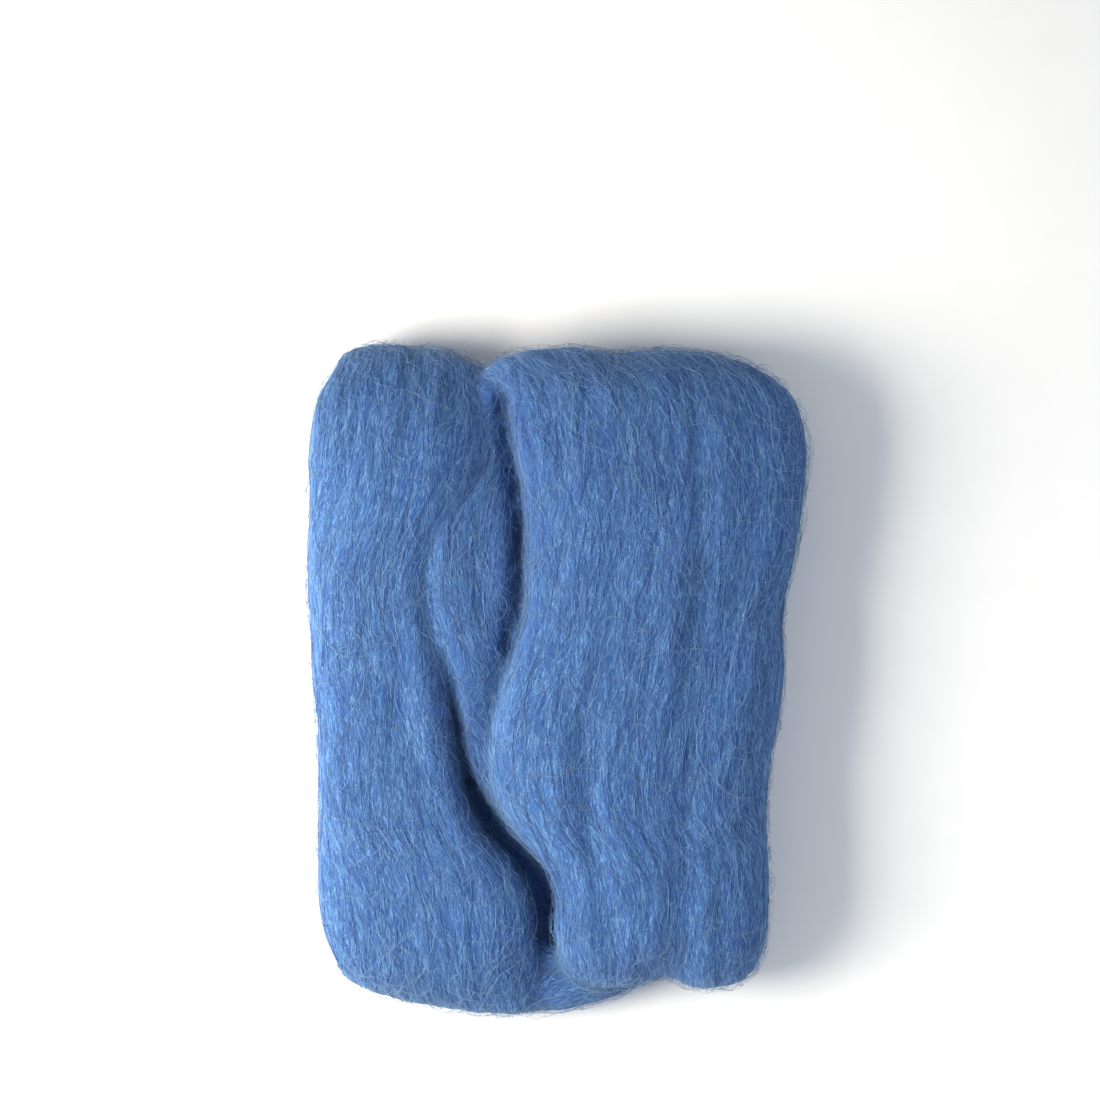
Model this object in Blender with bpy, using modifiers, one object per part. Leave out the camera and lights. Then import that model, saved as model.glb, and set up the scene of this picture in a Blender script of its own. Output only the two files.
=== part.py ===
"""Wool roving: one length of combed wool sliver, folded up and down into a flat hank.

The hank lies on its back: +X to the right and +Y up its face, +Z from the surface that it
lies on towards the viewer. The origin is on that surface, under the middle of the hank.
The sliver runs in one piece from a thinned end at the back of the left side: up the back,
over the top, down the left front, under the bottom and across to the right, up the middle,
over the top again, down the right front, under the bottom, and up the back of the right
side to its other thinned end. The plies are pressed together, so they are one soft body.
"""

from typing import NamedTuple

import bpy
import numpy as np
from mathutils import Vector, noise

MM = 0.001

# The sliver's skin: rings of points.
STEP_ALONG = 1.5 * MM
POINTS_ROUND = 72

# Soft locks that run along the sliver, raised and lowered by LOCK_DEPTH.
LOCK_WIDTH = 6.0 * MM
LOCK_LENGTH = 60.0 * MM
LOCK_DEPTH = 0.8 * MM
FRONT_TO_BACK_CHANGE = 3.0

# The plies swell by PRESSED_BY, fuse where they meet, and draw in by as much.
VOXEL = 1.2 * MM
PRESSED_BY = 0.6 * MM
SOFTENED_TIMES = 3
TRIANGLES_KEPT = 0.18

# The block that the hank is cut flat by, where it lies on the surface.
CUTTER_SIDE = 300.0 * MM
CUTTER_HEIGHT = 20.0 * MM

WOOL_BLUE = (0.085, 0.19, 0.43, 1.0)
WOOL_ROUGHNESS = 0.9


class Section(NamedTuple):
    """One section of the sliver: its middle, width and thickness in millimetres.

    turn is the way that its width lies, in degrees anticlockwise from +X as seen from the
    front, and tip is how far its right edge is lowered, in degrees. full is 2 for an ellipse,
    and more for a section with fuller corners.
    """

    x: float
    y: float
    z: float
    width: float
    thick: float
    turn: float = 0.0
    tip: float = 0.0
    full: float = 2.55


class Crease(NamedTuple):
    """A soft trough in the front of the hank, along points (x, y) in millimetres."""

    points: tuple
    width: float
    depth: float


class Dent(NamedTuple):
    """A place (x, y) in the outline that is pushed by (push_x, push_y), all in millimetres."""

    x: float
    y: float
    radius: float
    push_x: float
    push_y: float


UP_THE_LEFT_BACK = [
    Section(1, -55, 4.2, 8, 3, turn=50),
    Section(-3, -50.5, 4.5, 20, 7.5, turn=48),
    Section(-12, -41, 4.9, 28, 10.5, turn=38),
    Section(-21, -26, 5.0, 34, 11.8, turn=18),
    Section(-28, -6, 5.0, 37, 11.8, turn=4),
    Section(-29, 20, 5.0, 38, 11.8),
    Section(-28.9, 44, 5.1, 38.4, 11.8),
    Section(-28.6, 56, 5.8, 36, 11.2, turn=-3),
]
OVER_THE_LEFT_TOP = [
    Section(-28.2, 61.6, 8.8, 30.6, 11, turn=-6),
]
DOWN_THE_LEFT_FRONT = [
    Section(-29.1, 57.0, 11.4, 35.6, 12, turn=-3, tip=7, full=2.4),
    Section(-30, 49, 13.2, 38, 13.4, tip=9, full=2.2),
    Section(-32.2, 36, 14.2, 33.8, 14, tip=6, full=2.3),
    Section(-36.2, 20, 14.2, 27, 14, tip=4, full=2.5),
    Section(-35.6, 5, 14.2, 27.6, 14, tip=3, full=2.8),
    Section(-33.8, -10, 14.2, 27.2, 14.2, tip=1, full=3.3),
    Section(-32.8, -22, 14.0, 29, 14.2, tip=1, full=3.3),
    Section(-31.2, -29.5, 14.0, 32, 14.2, tip=2, full=3.0),
    Section(-28.0, -37, 13.8, 38.8, 14, tip=2, full=2.8),
    Section(-25.9, -46, 13.4, 42.2, 13.2, tip=3, full=2.6),
    Section(-24.6, -55.6, 11.8, 40.6, 11, tip=2, full=2.4),
]
UNDER_THE_LEFT_BOTTOM = [
    Section(-22.3, -60.7, 8.2, 40, 10, turn=-5),
    Section(-8.8, -58.2, 5.8, 23, 9.6, turn=-45),
    Section(3, -58.9, 5.8, 14, 10, turn=-80),
    Section(12.6, -55, 6.0, 16, 9.6, turn=-45),
]
UP_THE_MIDDLE = [
    Section(13, -45, 6.2, 25, 9.4),
    Section(8.5, -34, 7.0, 32, 10),
    Section(2.4, -20, 10.2, 37.6, 12.5, tip=6, full=2.8),
    Section(-3, -5, 10.8, 42, 13, tip=12, full=2.6),
    Section(-8, 15, 10.0, 46, 13.2, tip=17, full=2.4),
    Section(-9, 31, 9.6, 46, 13, tip=17, full=2.4),
    Section(-5, 45, 7.8, 42, 11.8, tip=14),
    Section(3.5, 56.8, 9.4, 44, 10.6, tip=7),
]
OVER_THE_RIGHT_TOP = [
    Section(13.8, 60.9, 12.6, 54.6, 11.2, turn=-1, tip=3),
]
DOWN_THE_RIGHT_FRONT = [
    Section(18.4, 57.4, 14.4, 56.4, 12.6, tip=4, full=2.4),
    Section(20.6, 49, 15.4, 58.2, 14.4, tip=4, full=2.9),
    Section(21.6, 36, 15.6, 55.2, 16.6, tip=4, full=2.9),
    Section(20.8, 24, 15.6, 53.2, 16.6, tip=4, full=2.9),
    Section(19.3, 12, 15.6, 51.2, 16.6, tip=4, full=2.9),
    Section(18.2, 4, 15.6, 54.6, 16.6, tip=4, full=2.9),
    Section(15.9, -8, 15.6, 57.2, 16.6, tip=4, full=2.9),
    Section(14.9, -16, 15.6, 55.8, 16.6, tip=4, full=2.9),
    Section(15.3, -24, 15.6, 53.6, 16.6, tip=3, full=2.9),
    Section(17.0, -30, 15.6, 50.2, 16.6, tip=3, full=2.9),
    Section(19.8, -36, 16.0, 45, 15.2, tip=3, full=2.9),
    Section(21.2, -42, 15.8, 42.6, 14.8, tip=2, full=2.5),
    Section(20.9, -50, 14.6, 42.2, 13.6, full=2.4),
]
UNDER_THE_RIGHT_BOTTOM = [
    Section(21.5, -56.3, 10, 39.5, 12.4),
]
UP_THE_RIGHT_BACK = [
    Section(23.5, -50, 5.8, 37, 12.4),
    Section(23.5, -30, 5.8, 36.5, 13),
    Section(24.5, -10, 5.8, 37.5, 13),
    Section(26, 10, 5.8, 39, 13),
    Section(27, 30, 5.8, 38.5, 12.6),
    Section(27.3, 40, 5.8, 35, 12.6),
    Section(27.3, 48, 5.6, 26, 11.4),
    Section(27, 53.5, 5.2, 11, 6),
]
ROUTE = (
    UP_THE_LEFT_BACK
    + OVER_THE_LEFT_TOP
    + DOWN_THE_LEFT_FRONT
    + UNDER_THE_LEFT_BOTTOM
    + UP_THE_MIDDLE
    + OVER_THE_RIGHT_TOP
    + DOWN_THE_RIGHT_FRONT
    + UNDER_THE_RIGHT_BOTTOM
    + UP_THE_RIGHT_BACK
)

CREASES = [
    Crease(((-20.3, -4), (-19.8, -8), (-19.2, -14), (-17.2, -23), (-13.6, -30), (-7.5, -35), (-2.7, -40), (-2.2, -46)), 1.3, 5.5),
    Crease(((-22.6, 5), (-21.2, 1), (-20.2, -5)), 1.3, 1.8),
    Crease(((-10.4, 57), (-9.4, 49), (-7.6, 38.7), (-7.2, 26), (-7.6, 17), (-9.4, 7)), 1.4, 3.2),
    Crease(((-9.4, 7), (-11.4, -2), (-12.8, -12)), 1.7, 1.4),
    Crease(((-25.6, 32), (-25.6, 14), (-23, 5), (-20.6, 0)), 2.2, 0.8),
    Crease(((28.5, 46), (29.4, 20), (27.8, -3), (26.2, -17), (25, -45), (25.5, -57)), 2.6, 0.8),
    Crease(((5, -8), (5.8, -17), (7.4, -34), (10.5, -50), (12, -57)), 2.4, 1.0),
    Crease(((-9.2, -13), (-6.5, -26)), 2.0, 0.8),
    Crease(((-31, -3), (-30, -11), (-26, -20), (-24, -30)), 3.0, 0.7),
]
CREASED_FROM_Z = 8.0
CREASED_FULLY_Z = 14.0

DENTS = [
    Dent(21, -60, 5.0, 0.0, 3.2),
]


def clear_scene():
    for old in list(bpy.data.objects):
        bpy.data.objects.remove(old)


def unit(vectors):
    return vectors / np.linalg.norm(vectors, axis=-1, keepdims=True)


def ease(values):
    """0 below 0, 1 above 1, and a smooth step between."""
    t = np.clip(values, 0.0, 1.0)
    return t * t * (3 - 2 * t)


def smooth_rows(rows, step):
    """Rows at even steps on a smooth curve through the given rows, which start with x, y and z."""
    chord = np.linalg.norm(np.diff(rows[:, :3], axis=0), axis=1)
    at = np.concatenate([[0.0], np.cumsum(chord)])
    slope = np.gradient(rows, at, axis=0)
    wanted = np.linspace(0.0, at[-1], int(at[-1] / step) + 1)
    k = np.clip(np.searchsorted(at, wanted, side="right") - 1, 0, len(at) - 2)
    gap = (at[k + 1] - at[k])[:, None]
    t = (wanted - at[k])[:, None] / gap
    return (
        (2 * t**3 - 3 * t**2 + 1) * rows[k]
        + (t**3 - 2 * t**2 + t) * gap * slope[k]
        + (3 * t**2 - 2 * t**3) * rows[k + 1]
        + (t**3 - t**2) * gap * slope[k + 1]
    )


def route_rows():
    """The route in metres, a row for each section: x, y, z, width, thickness, way across, fullness."""
    rows = []
    for s in ROUTE:
        turn, tip = np.radians(s.turn), np.radians(s.tip)
        across = (np.cos(tip) * np.cos(turn), np.cos(tip) * np.sin(turn), -np.sin(tip))
        sizes = [size * MM for size in (s.x, s.y, s.z, s.width, s.thick)]
        rows.append([*sizes, *across, s.full])
    return np.array(rows)


def locks(across, along, side):
    """How far the wool stands up at a point, in metres: soft locks that run along the sliver."""
    place = Vector((across / LOCK_WIDTH, along / LOCK_LENGTH, FRONT_TO_BACK_CHANGE * side))
    return LOCK_DEPTH * noise.noise(place)


def sliver_rings():
    """Rings of points round the sliver, one ring of POINTS_ROUND for each step along it."""
    rows = smooth_rows(route_rows(), STEP_ALONG)
    middle, width, thick, across = rows[:, :3], rows[:, 3], rows[:, 4], unit(rows[:, 5:8])
    along = unit(np.gradient(middle, axis=0))
    outward = unit(np.cross(along, across))
    travelled = STEP_ALONG * np.arange(len(rows))
    angle = np.linspace(0.0, 2 * np.pi, POINTS_ROUND, endpoint=False)
    rings = []
    for i, start in enumerate(middle):
        power = 2 / rows[i, 8]
        wide = np.sign(np.cos(angle)) * np.abs(np.cos(angle)) ** power
        high = np.sign(np.sin(angle)) * np.abs(np.sin(angle)) ** power
        u = wide * width[i] / 2
        v = high * thick[i] / 2
        v += [h * locks(x, travelled[i], np.sign(h)) for x, h in zip(u, high)]
        rings.append(start + np.outer(u, across[i]) + np.outer(v, outward[i]))
    return np.array(rings)


def distance_to_line(places, line):
    """How far each place (x, y) is from a line of points."""
    nearest = np.full(len(places), np.inf)
    for a, b in zip(line[:-1], line[1:]):
        t = np.clip((places - a) @ (b - a) / ((b - a) @ (b - a)), 0.0, 1.0)
        nearest = np.minimum(nearest, np.linalg.norm(places - a - t[:, None] * (b - a), axis=1))
    return nearest


def press(points):
    """Presses the creases into the front of the hank, and the dents into its outline."""
    front = ease((points[:, 2] / MM - CREASED_FROM_Z) / (CREASED_FULLY_Z - CREASED_FROM_Z))
    drop = np.zeros(len(points))
    for crease in CREASES:
        away = distance_to_line(points[:, :2], np.array(crease.points) * MM)
        drop += crease.depth * MM * np.exp(-((away / (crease.width * MM)) ** 2))
    points[:, 2] -= drop * front
    for dent in DENTS:
        away = np.linalg.norm(points[:, :2] - np.array([dent.x, dent.y]) * MM, axis=1)
        share = np.exp(-((away / (dent.radius * MM)) ** 2))[:, None]
        points[:, :2] += share * np.array([dent.push_x, dent.push_y]) * MM
    return points


def sliver_mesh():
    """The whole sliver as one closed tube, still in separate plies."""
    rings = sliver_rings()
    last = (len(rings) - 1) * POINTS_ROUND
    faces = []
    for near in range(0, last, POINTS_ROUND):
        far = near + POINTS_ROUND
        for j in range(POINTS_ROUND):
            k = (j + 1) % POINTS_ROUND
            faces.append((near + j, far + j, far + k, near + k))
    faces.append(tuple(range(POINTS_ROUND)))
    faces.append(tuple(reversed(range(last, last + POINTS_ROUND))))
    mesh = bpy.data.meshes.new("roving")
    mesh.from_pydata(press(rings.reshape(-1, 3)).tolist(), [], faces)
    return mesh


def wool_material():
    wool = bpy.data.materials.new("blue_wool")
    wool.use_nodes = True
    shader = wool.node_tree.nodes["Principled BSDF"]
    shader.inputs["Base Color"].default_value = WOOL_BLUE
    shader.inputs["Roughness"].default_value = WOOL_ROUGHNESS
    shader.inputs["Metallic"].default_value = 0.0
    return wool


def collection_named(name):
    found = bpy.data.collections.new(name)
    bpy.context.scene.collection.children.link(found)
    return found


def surface_cutter(collection):
    """A block under the hank, whose top is the surface that the hank lies on."""
    bpy.ops.mesh.primitive_cube_add(size=1.0)
    cutter = bpy.context.active_object
    cutter.name = "surface_cutter"
    cutter.scale = (CUTTER_SIDE, CUTTER_SIDE, CUTTER_HEIGHT)
    cutter.location = (0.0, 0.0, -CUTTER_HEIGHT / 2)
    cutter.hide_render = True
    cutter.display_type = "WIRE"
    for old in list(cutter.users_collection):
        old.objects.unlink(cutter)
    collection.objects.link(cutter)
    return cutter


def build_roving(collection, cutter):
    roving = bpy.data.objects.new("roving", sliver_mesh())
    collection.objects.link(roving)
    roving.data.materials.append(wool_material())
    for swell in (PRESSED_BY, -PRESSED_BY):
        fuse = roving.modifiers.new("plies pressed together", "REMESH")
        fuse.mode = "VOXEL"
        fuse.voxel_size = VOXEL
        swelling = roving.modifiers.new("swell and draw in", "DISPLACE")
        swelling.mid_level = 0.0
        swelling.strength = swell
    soften = roving.modifiers.new("soft surface", "SMOOTH")
    soften.factor = 0.5
    soften.iterations = SOFTENED_TIMES
    thin = roving.modifiers.new("fewer faces", "DECIMATE")
    thin.ratio = TRIANGLES_KEPT
    flat = roving.modifiers.new("lies flat", "BOOLEAN")
    flat.operation = "DIFFERENCE"
    flat.object = cutter
    return roving


def main():
    clear_scene()
    cutter = surface_cutter(collection_named("cutters"))
    build_roving(collection_named("wool_roving"), cutter)


main()
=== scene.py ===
"""Wool roving, dressed: the folded hank's soft body, its combed fibres and its loose ones.

The hank lies on its back: +X to the right and +Y up its face, +Z from the surface that it
lies on towards the viewer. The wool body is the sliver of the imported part, pressed together
more finely and marked by combing. The fibres grow on it, along the sliver's own direction.
"""

import math
from typing import NamedTuple

import bpy
import numpy as np
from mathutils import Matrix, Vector, noise


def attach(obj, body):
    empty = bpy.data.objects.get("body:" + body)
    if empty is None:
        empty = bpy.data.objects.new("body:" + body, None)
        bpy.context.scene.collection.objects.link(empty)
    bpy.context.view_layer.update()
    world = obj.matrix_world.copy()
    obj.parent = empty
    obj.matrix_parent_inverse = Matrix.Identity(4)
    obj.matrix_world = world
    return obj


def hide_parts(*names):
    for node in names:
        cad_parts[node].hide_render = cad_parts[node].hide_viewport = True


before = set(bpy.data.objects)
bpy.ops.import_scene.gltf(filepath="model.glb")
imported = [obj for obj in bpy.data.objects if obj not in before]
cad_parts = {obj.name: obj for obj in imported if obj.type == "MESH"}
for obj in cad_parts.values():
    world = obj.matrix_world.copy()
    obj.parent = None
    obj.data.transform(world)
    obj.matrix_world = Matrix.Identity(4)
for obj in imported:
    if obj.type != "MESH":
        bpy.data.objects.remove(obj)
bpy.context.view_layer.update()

MM = 0.001

# ---------------------------------------------------------------- sizes

STEP_ALONG = 1.0 * MM
POINTS_ROUND = 96

LOCK_WIDTH = 6.0 * MM
LOCK_LENGTH = 60.0 * MM
LOCK_DEPTH = 0.8 * MM
FRONT_TO_BACK_CHANGE = 3.0

VOXEL = 0.7 * MM
PRESSED_BY = 0.6 * MM
SOFTENED_TIMES = 4

CRIMP = 0.1 * MM
CRIMP_LENGTH = 1.6 * MM
FIBRE_SIDES = 3
USED_UP = ("id", "number", "step", "stray", "curl", "reach", "heading", "up", "grain", "share", "side")
USED_UP += ("across", "along", "cover", "fuzz cover", "by a crack")
ENDS_SUNK = 0.12 * MM
LOWEST = 0.15 * MM
CELL_MARGIN = 0.15

# Where fibres grow. A facing is -1 for wool that looks straight down and 1 for straight up.
BACK_FACING = (-0.75, -0.15)
EDGE_FACING = (0.2, 0.7)
LYING_FACING = -0.5
LYING_HEIGHT = 1.2 * MM
FOLD_FROM_Y = 50 * MM
FOLD_TO_Y = 64 * MM
LOOKOUT_HEIGHT = 0.3 * MM
LOOKOUT_REACH = 3 * MM

# From the least to the most that a single fibre may have, as shares of its kind's own value.
REACH_SHARES = (0.65, 1.25)
ARCH_SHARES = (0.15, 1.0)
CRIMP_LENGTH_SHARES = (0.8, 1.25)
CRIMP_SHARES = (0.3, 1.0)
THICKNESS_SHARES = (0.35, 0.6)

# How much of a fibre's crimp goes up and down, how thin its tips are, and how fast it wanders.
CRIMP_UPWARDS = 0.4
TIP_THICKNESS = 0.3
WANDER_BY_FIBRE = 0.731
WANDER_BY_STEP = 0.3

SENSOR = 36.0  # millimetres, as a camera has it
FRAME_WIDTH = 0.22
VIEW_X = -0.0011
VIEW_Y = 0.026
VIEW_HEIGHT = 0.012
CAMERA_HEIGHT = 1.0
FLOOR_REACH = 12.0

# ---------------------------------------------------------------- colours and lights

DEEP_BLUE = (0.016, 0.058, 0.230, 1.0)
MID_BLUE = (0.046, 0.136, 0.365, 1.0)
PALE_BLUE = (0.142, 0.295, 0.550, 1.0)
GREY_BLUE = (0.220, 0.350, 0.520, 1.0)
SHEEN_BLUE = (0.60, 0.84, 1.0, 1.0)
BODY_SHINE = {
    "Subsurface Weight": 0.6,
    "Subsurface Radius": (0.25, 0.5, 1.0),
    "Subsurface Scale": 3.0 * MM,
    "Roughness": 0.85,
    "Specular IOR Level": 0.25,
    "Sheen Weight": 0.35,
    "Sheen Roughness": 0.45,
    "Sheen Tint": SHEEN_BLUE,
}
FIBRE_SHINE = {
    "Roughness": 0.6,
    "Sheen Weight": 0.3,
    "Sheen Roughness": 0.4,
    "Sheen Tint": SHEEN_BLUE,
}

# How the wool is drawn on its finishes. A streak is given by its width and its length.
CRIMP_PHASE_STREAK = (1.2 * MM, 9 * MM)
LINE_STREAK = (0.36 * MM, 9 * MM)
FINE_STREAK = (0.28 * MM, 5 * MM)
BROAD_STREAK = (2.4 * MM, 35 * MM)
LINE_LEVEL = 0.57
LINE_SOFTNESS = 0.05
DEEPEST_TONE = 0.13
PALEST_TONE = 0.82
TONE_RELIEF = 0.18 * MM
OWN_TONE_SHARE = 0.75
OWN_TONE_CHANGE = 3 * MM

FLOOR_DARK = (0.90, 0.90, 0.91, 1.0)
FLOOR_PALE = (0.94, 0.94, 0.95, 1.0)
FLOOR_MOTTLE = 8 * MM

SKY_STRENGTH = 0.42
KEY_SIZE = 0.2
KEY_WATTS = 2.1
KEY_PLACE = (-0.23, -0.03, 0.169)
FILL_SIZE = 0.26
FILL_WATTS = 0.42
FILL_PLACE = (0.31, -0.1, 0.24)
WARM_WHITE = (1.0, 0.94, 0.82)
COOL_WHITE = (0.87, 0.935, 1.0)

# ---------------------------------------------------------------- kinds of fibre

# What each kind is grown with. fibre_tree says what the names mean.
COMBED_SEEDS = (100, 200)
COMBED = {
    "fibres_per_m2": 80e3,
    "cover": "cover",
    "steps": 10,
    "step": 1.6 * MM,
    "cuts": 1,
    "thickness": 0.12 * MM,
    "height": 0.14 * MM,
    "rise": 0.0,
    "stray": math.radians(14),
    "follow": 0.6,
    "hug": 1.0,
    "curl": math.radians(5),
    "crimp": 0.13 * MM,
    "crimp_length": 3.0 * MM,
}
DOWN = {
    "fibres_per_m2": 200e3,
    "cover": "fuzz cover",
    "steps": 3,
    "step": 0.6 * MM,
    "cuts": 0,
    "thickness": 0.06 * MM,
    "height": 0.0,
    "rise": 1.2,
    "stray": math.radians(70),
    "follow": 0.1,
    "hug": 0.0,
    "curl": math.radians(20),
    "crimp": 0.08 * MM,
    "crimp_length": 2.0 * MM,
    "seed": 31,
}
FUZZ = {
    "fibres_per_m2": 78e3,
    "cover": "fuzz cover",
    "steps": 7,
    "step": 0.85 * MM,
    "cuts": 0,
    "thickness": 0.07 * MM,
    "height": 0.65 * MM,
    "rise": 0.7,
    "stray": math.radians(80),
    "follow": 0.1,
    "hug": 0.3,
    "curl": math.radians(24),
    "crimp": 0.12 * MM,
    "crimp_length": 2.6 * MM,
    "seed": 11,
}
LOOSE = {
    "fibres_per_m2": 31e3,
    "cover": "fuzz cover",
    "steps": 20,
    "step": 1.15 * MM,
    "cuts": 0,
    "thickness": 0.065 * MM,
    "height": 0.8 * MM,
    "rise": 0.8,
    "stray": math.radians(55),
    "follow": 0.1,
    "hug": 0.3,
    "curl": math.radians(16),
    "crimp": 0.25 * MM,
    "crimp_length": 4.5 * MM,
    "seed": 7,
}

# ---------------------------------------------------------------- the hank's form


class Section(NamedTuple):
    """One section of the sliver: its middle, width and thickness in millimetres.

    turn is the way that its width lies, in degrees anticlockwise from +X as seen from the
    front, and tip is how far its right edge is lowered, in degrees. full is 2 for an ellipse,
    and more for a section with fuller corners.
    """

    x: float
    y: float
    z: float
    width: float
    thick: float
    turn: float = 0.0
    tip: float = 0.0
    full: float = 2.55


class Crease(NamedTuple):
    """A soft trough in the front of the hank, along points (x, y) in millimetres."""

    points: tuple
    width: float
    depth: float


class Dent(NamedTuple):
    """A place (x, y) in the outline that is pushed by (push_x, push_y), all in millimetres."""

    x: float
    y: float
    radius: float
    push_x: float
    push_y: float


UP_THE_LEFT_BACK = [
    Section(1, -55, 4.2, 8, 3, turn=50),
    Section(-3, -50.5, 4.5, 20, 7.5, turn=48),
    Section(-12, -41, 4.9, 28, 10.5, turn=38),
    Section(-21, -26, 5.0, 34, 11.8, turn=18),
    Section(-28, -6, 5.0, 37, 11.8, turn=4),
    Section(-29, 20, 5.0, 38, 11.8),
    Section(-28.9, 44, 5.1, 38.4, 11.8),
    Section(-28.6, 56, 5.8, 36, 11.2, turn=-3),
]
OVER_THE_LEFT_TOP = [
    Section(-28.2, 61.6, 8.8, 30.6, 11, turn=-6),
]
DOWN_THE_LEFT_FRONT = [
    Section(-29.1, 57.0, 11.4, 35.6, 12, turn=-3, tip=7, full=2.4),
    Section(-30, 49, 13.2, 38, 13.4, tip=9, full=2.2),
    Section(-32.2, 36, 14.2, 33.8, 14, tip=6, full=2.3),
    Section(-36.2, 20, 14.2, 27, 14, tip=4, full=2.5),
    Section(-35.6, 5, 14.2, 27.6, 14, tip=3, full=2.8),
    Section(-33.8, -10, 14.2, 27.2, 14.2, tip=1, full=3.3),
    Section(-32.8, -22, 14.0, 29, 14.2, tip=1, full=3.3),
    Section(-31.2, -29.5, 14.0, 32, 14.2, tip=2, full=3.0),
    Section(-28.0, -37, 13.8, 38.8, 14, tip=2, full=2.8),
    Section(-25.9, -46, 13.4, 42.2, 13.2, tip=3, full=2.6),
    Section(-24.6, -55.6, 11.8, 40.6, 11, tip=2, full=2.4),
]
UNDER_THE_LEFT_BOTTOM = [
    Section(-22.3, -60.7, 8.2, 40, 10, turn=-5),
    Section(-8.8, -58.2, 5.8, 23, 9.6, turn=-45),
    Section(3, -58.9, 5.8, 14, 10, turn=-80),
    Section(12.6, -55, 6.0, 16, 9.6, turn=-45),
]
UP_THE_MIDDLE = [
    Section(13, -45, 6.2, 25, 9.4),
    Section(8.5, -34, 7.0, 32, 10),
    Section(2.4, -20, 10.2, 37.6, 12.5, tip=6, full=2.8),
    Section(-3, -5, 10.8, 42, 13, tip=12, full=2.6),
    Section(-8, 15, 10.0, 46, 13.2, tip=17, full=2.4),
    Section(-9, 31, 9.6, 46, 13, tip=17, full=2.4),
    Section(-5, 45, 7.8, 42, 11.8, tip=14),
    Section(3.5, 56.8, 9.4, 44, 10.6, tip=7),
]
OVER_THE_RIGHT_TOP = [
    Section(13.8, 60.9, 12.6, 54.6, 11.2, turn=-1, tip=3),
]
DOWN_THE_RIGHT_FRONT = [
    Section(18.4, 57.4, 14.4, 56.4, 12.6, tip=4, full=2.4),
    Section(20.6, 49, 15.4, 58.2, 14.4, tip=4, full=2.9),
    Section(21.6, 36, 15.6, 55.2, 16.6, tip=4, full=2.9),
    Section(20.8, 24, 15.6, 53.2, 16.6, tip=4, full=2.9),
    Section(19.3, 12, 15.6, 51.2, 16.6, tip=4, full=2.9),
    Section(18.2, 4, 15.6, 54.6, 16.6, tip=4, full=2.9),
    Section(15.9, -8, 15.6, 57.2, 16.6, tip=4, full=2.9),
    Section(14.9, -16, 15.6, 55.8, 16.6, tip=4, full=2.9),
    Section(15.3, -24, 15.6, 53.6, 16.6, tip=3, full=2.9),
    Section(17.0, -30, 15.6, 50.2, 16.6, tip=3, full=2.9),
    Section(19.8, -36, 16.0, 45, 15.2, tip=3, full=2.9),
    Section(21.2, -42, 15.8, 42.6, 14.8, tip=2, full=2.5),
    Section(20.9, -50, 14.6, 42.2, 13.6, full=2.4),
]
UNDER_THE_RIGHT_BOTTOM = [
    Section(21.5, -56.3, 10, 39.5, 12.4),
]
UP_THE_RIGHT_BACK = [
    Section(23.5, -50, 5.8, 37, 12.4),
    Section(23.5, -30, 5.8, 36.5, 13),
    Section(24.5, -10, 5.8, 37.5, 13),
    Section(26, 10, 5.8, 39, 13),
    Section(27, 30, 5.8, 38.5, 12.6),
    Section(27.3, 40, 5.8, 35, 12.6),
    Section(27.3, 48, 5.6, 26, 11.4),
    Section(27, 53.5, 5.2, 11, 6),
]
ROUTE = (
    UP_THE_LEFT_BACK
    + OVER_THE_LEFT_TOP
    + DOWN_THE_LEFT_FRONT
    + UNDER_THE_LEFT_BOTTOM
    + UP_THE_MIDDLE
    + OVER_THE_RIGHT_TOP
    + DOWN_THE_RIGHT_FRONT
    + UNDER_THE_RIGHT_BOTTOM
    + UP_THE_RIGHT_BACK
)

CREASES = [
    Crease(
        ((-19.9, -8), (-19.5, -11), (-19.2, -14), (-17.2, -23))
        + ((-13.6, -30), (-7.5, -35), (-2.7, -40), (-2.2, -46)),
        1.3,
        5.5,
    ),
    Crease(((-20.6, -1), (-20.0, -8)), 1.2, 2.8),
    Crease(((-22.6, 5), (-21.2, 1), (-20.2, -5), (-19.9, -8)), 1.2, 1.6),
    Crease(((-10.4, 57), (-9.4, 49), (-7.6, 38.7), (-7.2, 26), (-7.6, 17), (-9.4, 7)), 1.4, 3.2),
    Crease(((-9.4, 7), (-11.4, -2), (-12.8, -12)), 1.7, 1.4),
    Crease(((-25.6, 32), (-25.6, 14), (-23, 5), (-20.6, 0)), 2.2, 0.8),
    Crease(((28.5, 46), (29.4, 20), (27.8, -3), (26.2, -17), (25, -45), (25.5, -57)), 2.6, 0.8),
    Crease(((5, -8), (5.8, -17), (7.4, -34), (10.5, -50), (12, -57)), 2.4, 1.0),
    Crease(((-9.2, -13), (-6.5, -26)), 2.0, 0.8),
    Crease(((-31, -3), (-30, -11), (-26, -20), (-24, -30)), 3.0, 0.7),
]
CREASED_FROM_Z = 8.0
CREASED_FULLY_Z = 14.0

# A crease deeper than CRACK_DEPTH is a crack. Within about CRACK_EDGE of it the wool's colour is
# darkened, by up to CRACK_SHADE: painted shade in and by the crack.
CRACK_DEPTH = 2.5
CRACK_EDGE = 4.0
CRACK_SHADE = 0.6

DENTS = [
    Dent(21, -60, 5.0, 0.0, 3.2),
    Dent(13, 67, 7.0, 0.0, -1.2),
    Dent(-15, 65, 4.5, 0.0, -1.2),
    Dent(-26, 67, 5.0, 0.0, -0.6),
    Dent(-50.5, 9, 12.0, 0.8, 0.0),
    Dent(-46, -58, 6.0, 0.7, 0.6),
    Dent(41, -59, 5.0, -0.7, 0.6),
]


# ---------------------------------------------------------------- the sliver


def unit(vectors):
    return vectors / np.linalg.norm(vectors, axis=-1, keepdims=True)


def ease(values):
    """0 below 0, 1 above 1, and a smooth step between."""
    t = np.clip(values, 0.0, 1.0)
    return t * t * (3 - 2 * t)


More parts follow.
